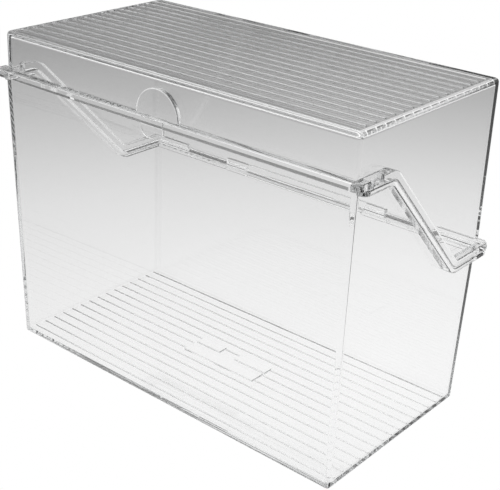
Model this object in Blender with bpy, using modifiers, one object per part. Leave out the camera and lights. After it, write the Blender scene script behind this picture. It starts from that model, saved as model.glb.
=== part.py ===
"""A clear moulded card file box: a bin and a hinged lid that meet on a Z-shaped rim.

The rim is high at the front and low at the back. The hinge lies at half the height, so the lid folds
right over and stands on its top behind the bin. Metres, +Z up, front towards -Y. The origin is the
middle of the bin's underside.
"""

import math

import bmesh
import bpy
from mathutils import Matrix, Vector

MM = 0.001

# Outside of the closed box at its widest, without the rim's flange.
LENGTH = 160 * MM
DEPTH = 83 * MM
HEIGHT = 127 * MM
WALL = 1.8 * MM
FLOOR = 2.0 * MM
DRAFT = math.radians(0.65)  # all walls lean in, away from the rim
LEAN = math.tan(DRAFT)
EDGE_RADIUS = 1.5 * MM
INNER_RADIUS = 0.8 * MM

# The rim seen from the side: a short level leg, a slope down to the back, and a short level leg.
FRONT_RIM_Z = 109.6 * MM
REAR_RIM_Z = 63.9 * MM
SLOPE_FRONT_Y = -25.5 * MM
SLOPE_REAR_Y = 19.6 * MM
BEND_RADIUS = 5.0 * MM
BEND_STEPS = 6
FLANGE = 3.0 * MM  # how far the rim stands out of the walls
REAR_FLANGE = 1.9 * MM
LID_BAND = 3.0 * MM
BIN_BAND = 2.0 * MM
SEAM = 0.3 * MM  # gap between lid and bin
RIM_CORNER_RADIUS = 2.8 * MM
RIM_ROUND = 0.45 * MM  # moulded rounding of the rim's and the thumb lip's edges
SMALL_ROUND = 0.25 * MM  # the same on knuckles, teeth and pads
ROUND_SEGMENTS = 3
SHARP_ANGLE = math.radians(50)
OVERLAP = 1.0 * MM  # how deep a joined shape reaches into the wall that carries it

# Ribs across the lid's top and the bin's floor.
RIB_COUNT = 15
RIB_PITCH = 5.0 * MM
RIB_WIDTH = 0.9 * MM
RIB_HEIGHT = 0.4 * MM
RIB_ROUND = 0.32 * MM
LID_RIB_HALF_LENGTH = 77.0 * MM
FLOOR_RIB_HALF_LENGTH = 76.4 * MM
PAD_HEIGHT = 0.6 * MM  # three blank pads in the middle of the floor, each as (left, right, front, back)
PADS = (
    (-18.0 * MM, 18.0 * MM, -6.6 * MM, 0.3 * MM),
    (-18.0 * MM, -5.5 * MM, 1.1 * MM, 5.7 * MM),
    (2.2 * MM, 18.0 * MM, 1.1 * MM, 5.7 * MM),
)

# Two hinges: the bin's knuckle carries a pin, and a lid knuckle turns on each end of it.
KNUCKLE_RADIUS = 1.75 * MM
HINGE_Y = DEPTH / 2 + KNUCKLE_RADIUS + 0.35 * MM
HINGE_Z = HEIGHT / 2
BIN_KNUCKLE = (39.3 * MM, 61.0 * MM)
LID_KNUCKLES = ((28.8 * MM, 38.8 * MM), (61.5 * MM, 81.5 * MM))
KNUCKLE_GAP = 0.5 * MM
PIN_RADIUS = 0.8 * MM
BORE_RADIUS = 0.95 * MM
PIN_SPAN = (29.2 * MM, 77.0 * MM)
ROUND_STEPS = 24

# Thumb lip at the middle of the front. Its inside clears the bin as the lid swings.
BOSS_RADIUS = 9.8 * MM
BOSS_Z = FRONT_RIM_Z + LID_BAND
BOSS_HEIGHT = 1.0 * MM
TAB_WIDTH = 10.4 * MM
TAB_OUTER_Y = -DEPTH / 2 - 3.3 * MM
TAB_THICKNESS = 1.2 * MM
TAB_DROP = 3.9 * MM
TAB_CORNER = 3.4 * MM

# Side catches: a tooth on the bin's rim stands in a notch of the lid's rim.
CATCH_Y = -35.4 * MM
TOOTH_LENGTH = 3.0 * MM
TOOTH_HEIGHT = 2.2 * MM
NOTCH_LENGTH = 7.2 * MM

CLEAR = 50 * MM  # how far cutters reach past what they cut
CLEAR_PLASTIC = (0.90, 0.91, 0.92, 1.0)
STEEL = (0.42, 0.43, 0.45, 1.0)


def clear_scene():
    for obj in list(bpy.data.objects):
        bpy.data.objects.remove(obj)


def new_collection(name, parent=None):
    collection = bpy.data.collections.new(name)
    (parent or bpy.context.scene.collection).children.link(collection)
    return collection


def make_material(name, color, roughness, metallic, transmission):
    material = bpy.data.materials.new(name)
    material.use_nodes = True
    shader = material.node_tree.nodes["Principled BSDF"]
    shader.inputs["Base Color"].default_value = color
    shader.inputs["Roughness"].default_value = roughness
    shader.inputs["Metallic"].default_value = metallic
    shader.inputs["Transmission Weight"].default_value = transmission
    material.diffuse_color = color
    return material


def add_mesh(name, bm, collection, tool=True):
    """Puts a finished bmesh into a new object. A tool only joins or cuts, and isn't a part."""
    mesh = bpy.data.meshes.new(name)
    bm.to_mesh(mesh)
    bm.free()
    obj = bpy.data.objects.new(name, mesh)
    collection.objects.link(obj)
    if tool:
        obj.hide_render = True
        obj.display_type = "WIRE"
    return obj


def tapered_block(first, second, center_y=0.0):
    """A box between two ends, each given as (height, length, depth)."""
    low, high = sorted((first, second))
    bm = bmesh.new()
    bmesh.ops.create_cube(bm, size=2.0)
    for vert in bm.verts:
        height, length, depth = low if vert.co.z < 0 else high
        vert.co = Vector((vert.co.x * length / 2, vert.co.y * depth / 2 + center_y, height))
    return bm


def add_block(name, x_range, y_range, z_range, collection):
    """A plain box tool between the given limits."""
    limits = [sorted(pair) for pair in (x_range, y_range, z_range)]
    size = Matrix.Diagonal([high - low for low, high in limits]).to_4x4()
    middle = Matrix.Translation([(low + high) / 2 for low, high in limits])
    bm = bmesh.new()
    bmesh.ops.create_cube(bm, size=1.0, matrix=middle @ size)
    return add_mesh(name, bm, collection)


def round_edges(bm, radius, segments, flat_z=None):
    """Rounds the upright edges, and the edges at height flat_z."""
    chosen = []
    for edge in bm.edges:
        heights = [vert.co.z for vert in edge.verts]
        upright = heights[0] != heights[1]
        at_flat = flat_z is not None and all(abs(z - flat_z) < 1e-6 for z in heights)
        if upright or at_flat:
            chosen.append(edge)
    bmesh.ops.bevel(bm, geom=chosen, offset=radius, segments=segments, profile=0.5, affect="EDGES")


def soften(obj, radius):
    """Rounds the sharp edges of a finished shape."""
    modifier = obj.modifiers.new("soften", "BEVEL")
    modifier.width = radius
    modifier.segments = ROUND_SEGMENTS
    modifier.limit_method = "ANGLE"
    modifier.angle_limit = SHARP_ANGLE
    modifier.use_clamp_overlap = False


def add_rod(name, radius, start, end, collection, steps=ROUND_STEPS, tool=True):
    """A cylinder between two points on a line parallel to X or Y."""
    start = Vector(start)
    end = Vector(end)
    turn = (end - start).to_track_quat("Z", "Y").to_matrix().to_4x4()
    bm = bmesh.new()
    bmesh.ops.create_cone(
        bm,
        cap_ends=True,
        segments=steps,
        radius1=radius,
        radius2=radius,
        depth=(end - start).length,
        matrix=Matrix.Translation((start + end) / 2) @ turn,
    )
    return add_mesh(name, bm, collection, tool)


def add_outline(name, points, width, collection, across="X"):
    """A flat outline thickened across X, with points as (y, z), or across Y, with points as (x, z)."""
    curve = bpy.data.curves.new(name, "CURVE")
    curve.dimensions = "2D"
    curve.fill_mode = "BOTH"
    curve.extrude = width / 2
    spline = curve.splines.new("POLY")
    spline.points.add(len(points) - 1)
    for point, (u, v) in zip(spline.points, points):
        point.co = (u, v, 0.0, 1.0)
    spline.use_cyclic_u = True
    drawn = bpy.data.objects.new(name + "_drawn", curve)
    bpy.context.scene.collection.objects.link(drawn)
    bpy.context.view_layer.update()
    depsgraph = bpy.context.evaluated_depsgraph_get()
    mesh = bpy.data.meshes.new_from_object(drawn.evaluated_get(depsgraph))
    bpy.data.objects.remove(drawn)
    stand = Matrix.Rotation(math.pi / 2, 4, "X")
    if across == "X":
        stand = Matrix.Rotation(math.pi / 2, 4, "Z") @ stand
    bm = bmesh.new()
    bm.from_mesh(mesh)
    bmesh.ops.remove_doubles(bm, verts=bm.verts, dist=1e-6)
    bmesh.ops.transform(bm, matrix=stand, verts=bm.verts)
    bmesh.ops.recalc_face_normals(bm, faces=bm.faces)
    return add_mesh(name, bm, collection)


def use_tool(obj, operation, tool):
    """Joins, cuts or intersects obj with one tool, or with every tool of a collection."""
    modifier = obj.modifiers.new(operation.lower(), "BOOLEAN")
    modifier.operation = operation
    modifier.solver = "EXACT"
    if isinstance(tool, bpy.types.Collection):
        modifier.operand_type = "COLLECTION"
        modifier.collection = tool
    else:
        modifier.object = tool


def arc(center, radius, start_deg, end_deg, steps=BEND_STEPS):
    """Points on an arc about center, in a plane's own two coordinates."""
    points = []
    for step in range(steps + 1):
        angle = math.radians(start_deg + (end_deg - start_deg) * step / steps)
        points.append((center[0] + radius * math.cos(angle), center[1] + radius * math.sin(angle)))
    return points


def rim_line(offset):
    """The rim's (y, z) line from front to back, moved up square to itself by offset."""
    slope = math.atan2(FRONT_RIM_Z - REAR_RIM_Z, SLOPE_REAR_Y - SLOPE_FRONT_Y)
    slope_deg = math.degrees(slope)
    tangent = BEND_RADIUS * math.tan(slope / 2)
    top_center = (SLOPE_FRONT_Y - tangent, FRONT_RIM_Z - BEND_RADIUS)
    low_center = (SLOPE_REAR_Y + tangent, REAR_RIM_Z + BEND_RADIUS)
    top_bend = arc(top_center, BEND_RADIUS + offset, 90, 90 - slope_deg)
    low_bend = arc(low_center, BEND_RADIUS - offset, 270 - slope_deg, 270)
    front = (-DEPTH / 2 - CLEAR, FRONT_RIM_Z + offset)
    rear = (DEPTH / 2 + CLEAR, REAR_RIM_Z + offset)
    return [front] + top_bend + low_bend + [rear]


def add_band(name, low, high, front_y, open_y, collection):
    """The rim's flange between two offsets from its line. It starts at front_y and is hollow from open_y on."""
    outline = rim_line(low) + rim_line(high)[::-1]
    band = add_outline(name, outline, LENGTH + 2 * CLEAR, collection)
    rear_y = DEPTH / 2 + REAR_FLANGE
    size = (LENGTH + 2 * FLANGE, rear_y - front_y)
    plan = tapered_block((0, *size), (2 * HEIGHT, *size), (rear_y + front_y) / 2)
    round_edges(plan, RIM_CORNER_RADIUS, BEND_STEPS)
    back_y = DEPTH / 2 - OVERLAP
    core_size = (LENGTH - 2 * OVERLAP, back_y - open_y)
    core = tapered_block((-CLEAR, *core_size), (HEIGHT + CLEAR, *core_size), (back_y + open_y) / 2)
    use_tool(band, "INTERSECT", add_mesh(name + "_plan", plan, TOOLS))
    soften(band, RIM_ROUND)
    use_tool(band, "DIFFERENCE", add_mesh(name + "_core", core, TOOLS))


def add_ribs(name, half_length, low_z, collection):
    """A row of ribs, each sunk a little into the plate below it."""
    for index in range(RIB_COUNT):
        y = (index - (RIB_COUNT - 1) / 2) * RIB_PITCH
        y_range = (y - RIB_WIDTH / 2, y + RIB_WIDTH / 2)
        z_range = (low_z - OVERLAP, low_z + RIB_HEIGHT)
        rib = add_block(f"{name}_{index + 1:02d}", (-half_length, half_length), y_range, z_range, collection)
        soften(rib, RIB_ROUND)


def sided(side, span):
    """A span along X on the left (-1) or right (1) half."""
    return sorted(side * x for x in span)


def widened(span, gap):
    return (span[0] - gap, span[1] + gap)


def add_knuckle(name, span, side, collection):
    ends = [(x, HINGE_Y, HINGE_Z) for x in sided(side, span)]
    soften(add_rod(name, KNUCKLE_RADIUS, *ends, collection), SMALL_ROUND)


def add_bore(name, side, collection):
    span = (LID_KNUCKLES[0][0] - CLEAR / 4, LID_KNUCKLES[1][1] + CLEAR / 4)
    ends = [(x, HINGE_Y, HINGE_Z) for x in sided(side, span)]
    add_rod(name, BORE_RADIUS, *ends, collection)


def add_relief(name, x_range, y_range, collection):
    """Takes away the flange where the other half's knuckle or tooth stands."""
    add_block(name, x_range, y_range, (HINGE_Z - CLEAR, HEIGHT + CLEAR), collection)


def wall_size(drop, inset=0.0):
    """Length and depth of the walls at a distance drop from the rim."""
    return tuple(size - 2 * inset - 2 * LEAN * drop for size in (LENGTH, DEPTH))


def add_shell(name, parts, material, end_z, rim_z, plate):
    """The walls and the end plate of one half, with the end plate at end_z, still open past the rim."""
    up = 1 if rim_z > end_z else -1  # which way the half opens
    open_z = rim_z + up * CLEAR
    depth = abs(rim_z - end_z)
    outside = tapered_block((end_z, *wall_size(depth)), (open_z, *wall_size(-CLEAR)))
    round_edges(outside, EDGE_RADIUS, 4, end_z)
    shell = add_mesh(name, outside, parts, tool=False)
    shell.data.materials.append(material)
    room_z = end_z + up * plate
    inside = tapered_block(
        (room_z, *wall_size(depth - plate, WALL)),
        (open_z + up * CLEAR, *wall_size(-2 * CLEAR, WALL)),
    )
    round_edges(inside, INNER_RADIUS, 3, room_z)
    use_tool(shell, "DIFFERENCE", add_mesh(name + "_inside", inside, TOOLS))
    far_y = DEPTH / 2 + CLEAR
    far_z = open_z + 2 * up * CLEAR
    past_rim = rim_line(-up * SEAM / 2) + [(far_y, far_z), (-far_y, far_z)]
    use_tool(shell, "DIFFERENCE", add_outline(name + "_past_rim", past_rim, LENGTH + 3 * CLEAR, TOOLS))
    return shell


def join_hinge(half, name, spans):
    """Adds one half's knuckles on both sides and bores them for the pins."""
    knuckles = new_collection(name + "_knuckles", TOOLS)
    bores = new_collection(name + "_bores", TOOLS)
    for side in (-1, 1):
        for index, span in enumerate(spans):
            add_knuckle(f"{name}_knuckle_{side}_{index}", span, side, knuckles)
        add_bore(f"{name}_bore_{side}", side, bores)
    use_tool(half, "UNION", knuckles)
    use_tool(half, "DIFFERENCE", bores)


def make_bin(parts, material):
    box = add_shell("bin", parts, material, 0.0, FRONT_RIM_Z, FLOOR)
    joined = new_collection("bin_joined", TOOLS)
    relief = new_collection("bin_relief", TOOLS)
    add_band("bin_band", -BIN_BAND, -SEAM / 2, -DEPTH / 2 + OVERLAP / 2, -DEPTH, joined)
    add_ribs("floor_rib", FLOOR_RIB_HALF_LENGTH, FLOOR, joined)
    for index, (left, right, front, back) in enumerate(PADS):
        z_range = (FLOOR - OVERLAP, FLOOR + PAD_HEIGHT)
        soften(add_block(f"blank_pad_{index}", (left, right), (front, back), z_range, joined), SMALL_ROUND)
    for side in (-1, 1):
        tooth_y = (CATCH_Y - TOOTH_LENGTH / 2, CATCH_Y + TOOTH_LENGTH / 2)
        tooth_x = sided(side, (LENGTH / 2 + 0.5 * MM, LENGTH / 2 + FLANGE - 0.4 * MM))
        tooth_z = (FRONT_RIM_Z - OVERLAP, FRONT_RIM_Z + TOOTH_HEIGHT)
        soften(add_block(f"tooth_{side}", tooth_x, tooth_y, tooth_z, joined), SMALL_ROUND)
        for index, span in enumerate(LID_KNUCKLES):
            x_range = sided(side, widened(span, KNUCKLE_GAP))
            add_relief(f"lid_knuckle_gap_{side}_{index}", x_range, KNUCKLE_ZONE_Y, relief)
    use_tool(box, "UNION", joined)
    use_tool(box, "DIFFERENCE", relief)
    join_hinge(box, "bin", [BIN_KNUCKLE])


def make_lid(parts, material):
    top_z = HEIGHT - RIB_HEIGHT
    lid = add_shell("lid", parts, material, top_z, REAR_RIM_Z, FLOOR)
    joined = new_collection("lid_joined", TOOLS)
    relief = new_collection("lid_relief", TOOLS)
    add_band("lid_band", SEAM / 2, LID_BAND, -DEPTH / 2 - FLANGE, -DEPTH / 2 + OVERLAP, joined)
    add_ribs("lid_rib", LID_RIB_HALF_LENGTH, top_z, joined)
    add_thumb_lip(joined)
    for side in (-1, 1):
        x_range = sided(side, widened(BIN_KNUCKLE, KNUCKLE_GAP))
        add_relief(f"bin_knuckle_gap_{side}", x_range, KNUCKLE_ZONE_Y, relief)
        notch_x = sided(side, (LENGTH / 2 + 0.1 * MM, LENGTH / 2 + CLEAR))
        notch_y = (CATCH_Y - NOTCH_LENGTH / 2, CATCH_Y + NOTCH_LENGTH / 2)
        add_relief(f"notch_{side}", notch_x, notch_y, relief)
    use_tool(lid, "UNION", joined)
    use_tool(lid, "DIFFERENCE", relief)
    join_hinge(lid, "lid", LID_KNUCKLES)


def add_thumb_lip(collection):
    """The half-round boss over the front rim, and the tab that hangs from the rim."""
    face_y = -DEPTH / 2
    steps = 2 * BEND_STEPS
    boss = arc((0, BOSS_Z), BOSS_RADIUS, 0, 180, 2 * steps)
    foot_z = FRONT_RIM_Z + LID_BAND / 2
    boss_outline = [(BOSS_RADIUS, foot_z)] + boss + [(-BOSS_RADIUS, foot_z)]
    boss_tool = add_outline("thumb_boss", boss_outline, BOSS_HEIGHT + OVERLAP, collection, "Y")
    boss_tool.location.y = face_y - (BOSS_HEIGHT - OVERLAP) / 2
    soften(boss_tool, RIM_ROUND)
    half = TAB_WIDTH / 2
    turn_z = FRONT_RIM_Z - TAB_DROP + TAB_CORNER
    right = arc((half - TAB_CORNER, turn_z), TAB_CORNER, 0, -90)
    left = arc((TAB_CORNER - half, turn_z), TAB_CORNER, -90, -180)
    top_z = FRONT_RIM_Z + LID_BAND - 0.2 * MM
    tab_outline = [(half, top_z)] + right + left + [(-half, top_z)]
    tab = add_outline("thumb_tab", tab_outline, TAB_THICKNESS, collection, "Y")
    tab.location.y = TAB_OUTER_Y + TAB_THICKNESS / 2
    soften(tab, SMALL_ROUND)


def make_pin(name, side, parts, material):
    low, high = sided(side, PIN_SPAN)
    half = (high - low) / 2
    pin = add_rod(name, PIN_RADIUS, (-half, 0, 0), (half, 0, 0), parts, tool=False)
    pin.data.materials.append(material)
    pin.location = ((low + high) / 2, HINGE_Y, HINGE_Z)


def shade(obj):
    obj.data.shade_smooth()
    obj.data.set_sharp_from_angle(angle=math.radians(30))


def main():
    parts = new_collection("card_file_box")
    plastic = make_material("clear_plastic", CLEAR_PLASTIC, 0.05, 0.0, 1.0)
    steel = make_material("pin_steel", STEEL, 0.25, 1.0, 0.0)
    make_bin(parts, plastic)
    make_lid(parts, plastic)
    make_pin("hinge_pin_left", -1, parts, steel)
    make_pin("hinge_pin_right", 1, parts, steel)
    for obj in parts.objects:
        shade(obj)


KNUCKLE_ZONE_Y = (DEPTH / 2 + 0.05 * MM, DEPTH / 2 + CLEAR)
clear_scene()
TOOLS = new_collection("tools")
TOOLS.hide_render = True
main()
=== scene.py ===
"""The looks of a clear moulded card file box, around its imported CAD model.

Metres, +Z up, front towards -Y.
"""

import math

import bpy
from mathutils import Matrix, Vector

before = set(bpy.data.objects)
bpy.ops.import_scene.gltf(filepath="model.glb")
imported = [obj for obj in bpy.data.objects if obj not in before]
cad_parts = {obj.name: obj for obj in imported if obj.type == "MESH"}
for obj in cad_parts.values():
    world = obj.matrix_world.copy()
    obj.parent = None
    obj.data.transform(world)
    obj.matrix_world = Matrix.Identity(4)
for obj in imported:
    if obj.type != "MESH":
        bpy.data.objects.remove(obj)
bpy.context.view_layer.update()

MM = 0.001

# Camera: where it stands, how it is turned, and its sensor and lens in millimetres.
CAMERA_PLACE = (0.23853, -0.28622, 0.22489)
CAMERA_AZIMUTH = math.radians(40.368)
CAMERA_ELEVATION = math.radians(26.959)
CAMERA_ROLL = math.radians(1.967)
SENSOR_WIDTH = 36
LENS = 77.33
SHIFT = (0.054, 0.078)
NEAREST = 0.01

# Floor: a pool of light round the box. Its tones are (distance from the pool's middle, tone).
FLOOR_RADIUS = 6.0
FLOOR_SIDES = 64
FLOOR_DROP = 0.05 * MM
FLOOR_TONES = (
    (0.0, 0.99),
    (0.10, 0.915),
    (0.20, 0.77),
    (0.29, 0.605),
    (0.375, 0.48),
    (0.49, 0.36),
    (0.63, 0.31),
    (0.80, 0.40),
    (1.30, 0.60),
)
FLOOR_SPAN = FLOOR_TONES[-1][0]
FLOOR_STRENGTH = 1.25
POOL_CENTER = (0.06, 0.0, 0.0)
POOL_STRETCH = (0.75, 1.0, 1.0)

# Sky: its tones are (sine of the elevation, share of the strength). A dim card stands low behind the box.
SKY_TONES = ((0.0, 0.65), (0.40, 0.70), (0.55, 0.85), (0.70, 1.0), (1.0, 1.0))
SKY_STRENGTH = 1.25
CARD_TONE = 0.08
CARD_ELEVATION = math.radians(17)
CARD_INNER = math.cos(math.radians(15))
CARD_OUTER = math.cos(math.radians(25))
CARD_TOP = (math.sin(math.radians(21)), math.sin(math.radians(26)))  # where it fades out upwards
MOST_BOUNCES = 40

# Shading of the mouldings, which are faceted solids.
WELD_DISTANCE = 0.001 * MM
FLAT_ANGLE = math.radians(0.5)
SHARP_ANGLE = math.radians(36)
NORMAL_WEIGHT = 50

# Clear plastic. The wave depth is the height of the mould's waviness, and a ramp of painted shade in the
# base colour starts face-on and darkens the plastic towards grazing views.
PLASTIC_IOR = 1.57
PLASTIC_GRAZING_SHADE = ((0.0, 0.97), (0.6, 0.97), (1.0, 0.95))
PLASTIC_SHADE_BLEND = 0.5
PLASTIC_BODY = (0.30, 0.32, 0.33, 1)
PLASTIC_DENSITY = 4
WAVE_SCALE = 28
WAVE_DETAIL = 1
WAVE_DEPTH = 0.02 * MM
FLOW_STRETCH = (0.25, 1, 1)
FLOW_SCALE = 160
FLOW_DETAIL = 2
FLOW_SHARE = 0.12
HAZE_SCALE = 45
HAZE_DETAIL = 4
HAZE_SPREAD = (0.5, 0.8)
HAZE_ROUGHNESS = 0.015
BIN_SEED = 0
LID_SEED = 3

# Steel wire of the hinge pins.
STEEL_TONES = ((0.3, 0.015), (0.7, 0.035))
STAIN_SCALE = 300
STAIN_DETAIL = 3
WIRE_STRETCH = (0.02, 1, 1)
WIRE_SCALE = 6000
WIRE_DETAIL = 3
WIRE_LINE_DEPTH = 0.01 * MM
WIRE_ROUGHNESS = (0.18, 0.38)


def new_material(name):
    """A node material and its shader."""
    material = bpy.data.materials.new(name)
    material.use_nodes = True
    return material, material.node_tree.nodes["Principled BSDF"]


def ramp(tree, stops, factor):
    """The colour socket of a ramp with these (place, tone) stops, fed by the factor socket."""
    node = tree.nodes.new("ShaderNodeValToRGB")
    elements = node.color_ramp.elements
    while len(elements) > 1:
        elements.remove(elements[-1])
    elements[0].position = stops[0][0]
    elements[0].color = (stops[0][1],) * 3 + (1,)
    for place, tone in stops[1:]:
        elements.new(place).color = (tone, tone, tone, 1)
    tree.links.new(factor, node.inputs["Fac"])
    return node.outputs["Color"]


def noise(tree, vector, scale, detail):
    """The value socket of a noise texture over the given coordinates."""
    node = tree.nodes.new("ShaderNodeTexNoise")
    node.inputs["Scale"].default_value = scale
    node.inputs["Detail"].default_value = detail
    tree.links.new(vector, node.inputs["Vector"])
    return node.outputs["Fac"]


def spread(tree, value, low, high, from_low=0.0, from_high=1.0):
    """The value socket of value moved from one range to another, and held inside it."""
    node = tree.nodes.new("ShaderNodeMapRange")
    node.inputs["From Min"].default_value = from_low
    node.inputs["From Max"].default_value = from_high
    node.inputs["To Min"].default_value = low
    node.inputs["To Max"].default_value = high
    tree.links.new(value, node.inputs["Value"])
    return node.outputs["Result"]


def multiply(tree, first, second):
    """The product of two value sockets."""
    node = tree.nodes.new("ShaderNodeMath")
    node.operation = "MULTIPLY"
    tree.links.new(first, node.inputs[0])
    tree.links.new(second, node.inputs[1])
    return node.outputs[0]


def add_share(tree, value, share, base):
    """The base socket with a share of the value socket added to it."""
    node = tree.nodes.new("ShaderNodeMath")
    node.operation = "MULTIPLY_ADD"
    node.inputs[1].default_value = share
    tree.links.new(value, node.inputs[0])
    tree.links.new(base, node.inputs[2])
    return node.outputs[0]


def mix_to_tone(tree, factor, color, tone):
    """The colour socket mixed into a plain tone, a number, by the factor socket."""
    node = tree.nodes.new("ShaderNodeMix")
    node.data_type = "RGBA"
    tree.links.new(factor, node.inputs["Factor"])
    tree.links.new(color, node.inputs["A"])
    node.inputs["B"].default_value = (tone, tone, tone, 1)
    return node.outputs["Result"]


def stretched(tree, factors):
    """Object coordinates, each axis multiplied by its factor."""
    place = tree.nodes.new("ShaderNodeTexCoord")
    scale = tree.nodes.new("ShaderNodeMapping")
    scale.inputs["Scale"].default_value = factors
    tree.links.new(place.outputs["Object"], scale.inputs["Vector"])
    return scale.outputs["Vector"]


def add_bump(tree, shader, height, distance):
    """Gives the shader a relief of this height socket."""
    bump = tree.nodes.new("ShaderNodeBump")
    bump.inputs["Distance"].default_value = distance
    bump.inputs["Strength"].default_value = 1.0
    tree.links.new(height, bump.inputs["Height"])
    tree.links.new(bump.outputs["Normal"], shader.inputs["Normal"])


def clear_plastic(name, seed):
    """Clear polystyrene: a little waviness from the mould, faint flow lines, a light haze of handling,
    and painted shade that darkens it towards grazing views.

    The seed changes the size of the flow lines and the haze, so that two mouldings don't look alike.
    """
    material, shader = new_material(name)
    tree = material.node_tree
    shader.inputs["IOR"].default_value = PLASTIC_IOR
    shader.inputs["Transmission Weight"].default_value = 1.0

    place = stretched(tree, (1, 1, 1))
    waves = noise(tree, place, WAVE_SCALE, WAVE_DETAIL)
    flow = noise(tree, stretched(tree, FLOW_STRETCH), FLOW_SCALE + seed, FLOW_DETAIL)
    add_bump(tree, shader, add_share(tree, flow, FLOW_SHARE, waves), WAVE_DEPTH)
    haze = noise(tree, place, HAZE_SCALE + seed, HAZE_DETAIL)
    tree.links.new(spread(tree, haze, 0, HAZE_ROUGHNESS, *HAZE_SPREAD), shader.inputs["Roughness"])

    # Painted shade: the base colour darkens from 0.97 face-on to 0.95 at grazing views, giving the edges
    # grey outlines.
    facing = tree.nodes.new("ShaderNodeLayerWeight")
    facing.inputs["Blend"].default_value = PLASTIC_SHADE_BLEND
    tree.links.new(ramp(tree, PLASTIC_GRAZING_SHADE, facing.outputs["Facing"]), shader.inputs["Base Color"])
    body = tree.nodes.new("ShaderNodeVolumeAbsorption")
    body.inputs["Color"].default_value = PLASTIC_BODY
    body.inputs["Density"].default_value = PLASTIC_DENSITY
    tree.links.new(body.outputs[0], tree.nodes["Material Output"].inputs["Volume"])
    return material


def steel_wire(name):
    """Dark drawn steel wire, with fine lines along its length."""
    material, shader = new_material(name)
    tree = material.node_tree
    shader.inputs["Metallic"].default_value = 1.0
    lines = noise(tree, stretched(tree, WIRE_STRETCH), WIRE_SCALE, WIRE_DETAIL)
    stains = noise(tree, stretched(tree, (1, 1, 1)), STAIN_SCALE, STAIN_DETAIL)
    tree.links.new(ramp(tree, STEEL_TONES, stains), shader.inputs["Base Color"])
    tree.links.new(spread(tree, lines, *WIRE_ROUGHNESS), shader.inputs["Roughness"])
    add_bump(tree, shader, lines, WIRE_LINE_DEPTH)
    return material


def glow_unless_seen(tree, tone, strength, glow, output):
    """White to the camera itself, and this tone to every ray that has met the box."""
    path = tree.nodes.new("ShaderNodeLightPath")
    color = mix_to_tone(tree, path.outputs["Is Camera Ray"], tone, 1 / strength)
    glow.inputs["Strength"].default_value = strength
    tree.links.new(color, glow.inputs["Color"])
    tree.links.new(glow.outputs[0], output.inputs["Surface"])


def pool_distance(tree):
    """The distance from the middle of the pool, which is turned to face the camera."""
    place = tree.nodes.new("ShaderNodeTexCoord")
    turn = tree.nodes.new("ShaderNodeVectorRotate")
    turn.rotation_type = "Z_AXIS"
    turn.inputs["Angle"].default_value = -CAMERA_AZIMUTH
    pool = tree.nodes.new("ShaderNodeMapping")
    pool.vector_type = "TEXTURE"
    pool.inputs["Location"].default_value = POOL_CENTER
    pool.inputs["Scale"].default_value = [1 / s for s in POOL_STRETCH]
    length = tree.nodes.new("ShaderNodeVectorMath")
    length.operation = "LENGTH"
    tree.links.new(place.outputs["Object"], turn.inputs["Vector"])
    tree.links.new(turn.outputs[0], pool.inputs["Vector"])
    tree.links.new(pool.outputs[0], length.inputs[0])
    return length.outputs["Value"]


def make_floor():
    bpy.ops.mesh.primitive_circle_add(
        vertices=FLOOR_SIDES, radius=FLOOR_RADIUS, fill_type="NGON", location=(0, 0, -FLOOR_DROP)
    )
    floor = bpy.context.object
    floor.name = "floor"
    material = bpy.data.materials.new("floor")
    material.use_nodes = True
    tree = material.node_tree
    tree.nodes.clear()
    stops = [(distance / FLOOR_SPAN, tone / FLOOR_STRENGTH) for distance, tone in FLOOR_TONES]
    tone = ramp(tree, stops, spread(tree, pool_distance(tree), 0, 1, 0, FLOOR_SPAN))
    glow = tree.nodes.new("ShaderNodeEmission")
    output = tree.nodes.new("ShaderNodeOutputMaterial")
    glow_unless_seen(tree, tone, FLOOR_STRENGTH, glow, output)
    floor.data.materials.append(material)


def card_cover(tree, direction, height):
    """How much the dim card, a disc opposite the camera that fades out upwards, covers a direction."""
    card = tree.nodes.new("ShaderNodeVectorMath")
    card.operation = "DOT_PRODUCT"
    card.inputs[1].default_value = (
        -math.sin(CAMERA_AZIMUTH) * math.cos(CARD_ELEVATION),
        math.cos(CAMERA_AZIMUTH) * math.cos(CARD_ELEVATION),
        math.sin(CARD_ELEVATION),
    )
    tree.links.new(direction, card.inputs[0])
    disc = spread(tree, card.outputs["Value"], 0, 1, CARD_OUTER, CARD_INNER)
    return multiply(tree, disc, spread(tree, height, 1, 0, *CARD_TOP))


def make_sky():
    world = bpy.data.worlds.new("sky")
    bpy.context.scene.world = world
    world.use_nodes = True
    tree = world.node_tree
    tree.nodes.clear()
    place = tree.nodes.new("ShaderNodeTexCoord")
    split = tree.nodes.new("ShaderNodeSeparateXYZ")
    tree.links.new(place.outputs["Generated"], split.inputs[0])
    height = split.outputs["Z"]
    cover = card_cover(tree, place.outputs["Generated"], height)
    tone = mix_to_tone(tree, cover, ramp(tree, SKY_TONES, height), CARD_TONE / SKY_STRENGTH)
    glow = tree.nodes.new("ShaderNodeBackground")
    output = tree.nodes.new("ShaderNodeOutputWorld")
    glow_unless_seen(tree, tone, SKY_STRENGTH, glow, output)


def let_light_through(bounces):
    """Lets light find its way out of thick clear rims, where it turns many times."""
    paths = bpy.context.scene.cycles
    paths.max_bounces = bounces
    paths.glossy_bounces = bounces
    paths.transmission_bounces = bounces


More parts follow.
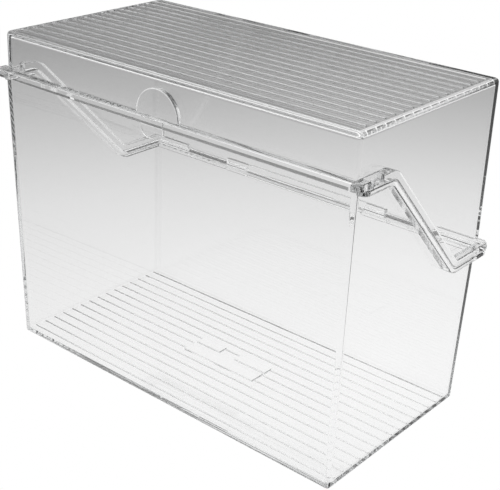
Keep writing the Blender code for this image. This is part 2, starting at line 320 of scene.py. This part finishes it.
def moulding_group():
    """Geometry nodes that shade the faces smooth, except across sharp edges."""
    tree = bpy.data.node_groups.new("moulding", "GeometryNodeTree")
    tree.interface.new_socket("Geometry", in_out="INPUT", socket_type="NodeSocketGeometry")
    tree.interface.new_socket("Geometry", in_out="OUTPUT", socket_type="NodeSocketGeometry")
    nodes, links = tree.nodes, tree.links
    start = nodes.new("NodeGroupInput")
    end = nodes.new("NodeGroupOutput")
    faces = nodes.new("GeometryNodeSetShadeSmooth")
    edges = nodes.new("GeometryNodeSetShadeSmooth")
    edges.domain = "EDGE"
    edges.inputs["Shade Smooth"].default_value = False
    angle = nodes.new("GeometryNodeInputMeshEdgeAngle")
    sharp = nodes.new("FunctionNodeCompare")
    sharp.operation = "GREATER_THAN"
    sharp.inputs["B"].default_value = SHARP_ANGLE
    links.new(angle.outputs["Unsigned Angle"], sharp.inputs["A"])
    links.new(sharp.outputs["Result"], edges.inputs["Selection"])
    links.new(start.outputs[0], faces.inputs["Geometry"])
    links.new(faces.outputs[0], edges.inputs["Geometry"])
    links.new(edges.outputs[0], end.inputs[0])
    return tree


def shade_moulding(node, group):
    """Joins the flat facets, and shades the rounded edges smooth beside flat walls."""
    weld = node.modifiers.new("weld", "WELD")
    weld.merge_threshold = WELD_DISTANCE
    flat = node.modifiers.new("flat", "DECIMATE")
    flat.decimate_type = "DISSOLVE"
    flat.angle_limit = FLAT_ANGLE
    node.modifiers.new("moulding", "NODES").node_group = group
    weighted = node.modifiers.new("normals", "WEIGHTED_NORMAL")
    weighted.keep_sharp = True
    weighted.weight = NORMAL_WEIGHT


def make_camera():
    back = Vector((
        math.sin(CAMERA_AZIMUTH) * math.cos(CAMERA_ELEVATION),
        -math.cos(CAMERA_AZIMUTH) * math.cos(CAMERA_ELEVATION),
        math.sin(CAMERA_ELEVATION),
    ))
    data = bpy.data.cameras.new("camera")
    camera = bpy.data.objects.new("camera", data)
    bpy.context.scene.collection.objects.link(camera)
    level = (-back).to_track_quat("-Z", "Y").to_matrix()
    turned = level @ Matrix.Rotation(CAMERA_ROLL, 3, "Z")
    camera.matrix_world = Matrix.Translation(CAMERA_PLACE) @ turned.to_4x4()
    data.sensor_width = SENSOR_WIDTH
    data.lens = LENS
    data.shift_x, data.shift_y = SHIFT
    data.clip_start = NEAREST
    bpy.context.scene.camera = camera


plastics = {"bin": clear_plastic("bin_styrene", BIN_SEED), "lid": clear_plastic("lid_styrene", LID_SEED)}
steel = steel_wire("pin_steel")
moulding = moulding_group()
for name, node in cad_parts.items():
    node.data.materials.clear()
    node.data.materials.append(plastics.get(name, steel))
    shade_moulding(node, moulding)

make_floor()
make_sky()
make_camera()
let_light_through(MOST_BOUNCES)
bpy.context.scene.view_settings.view_transform = "Standard"
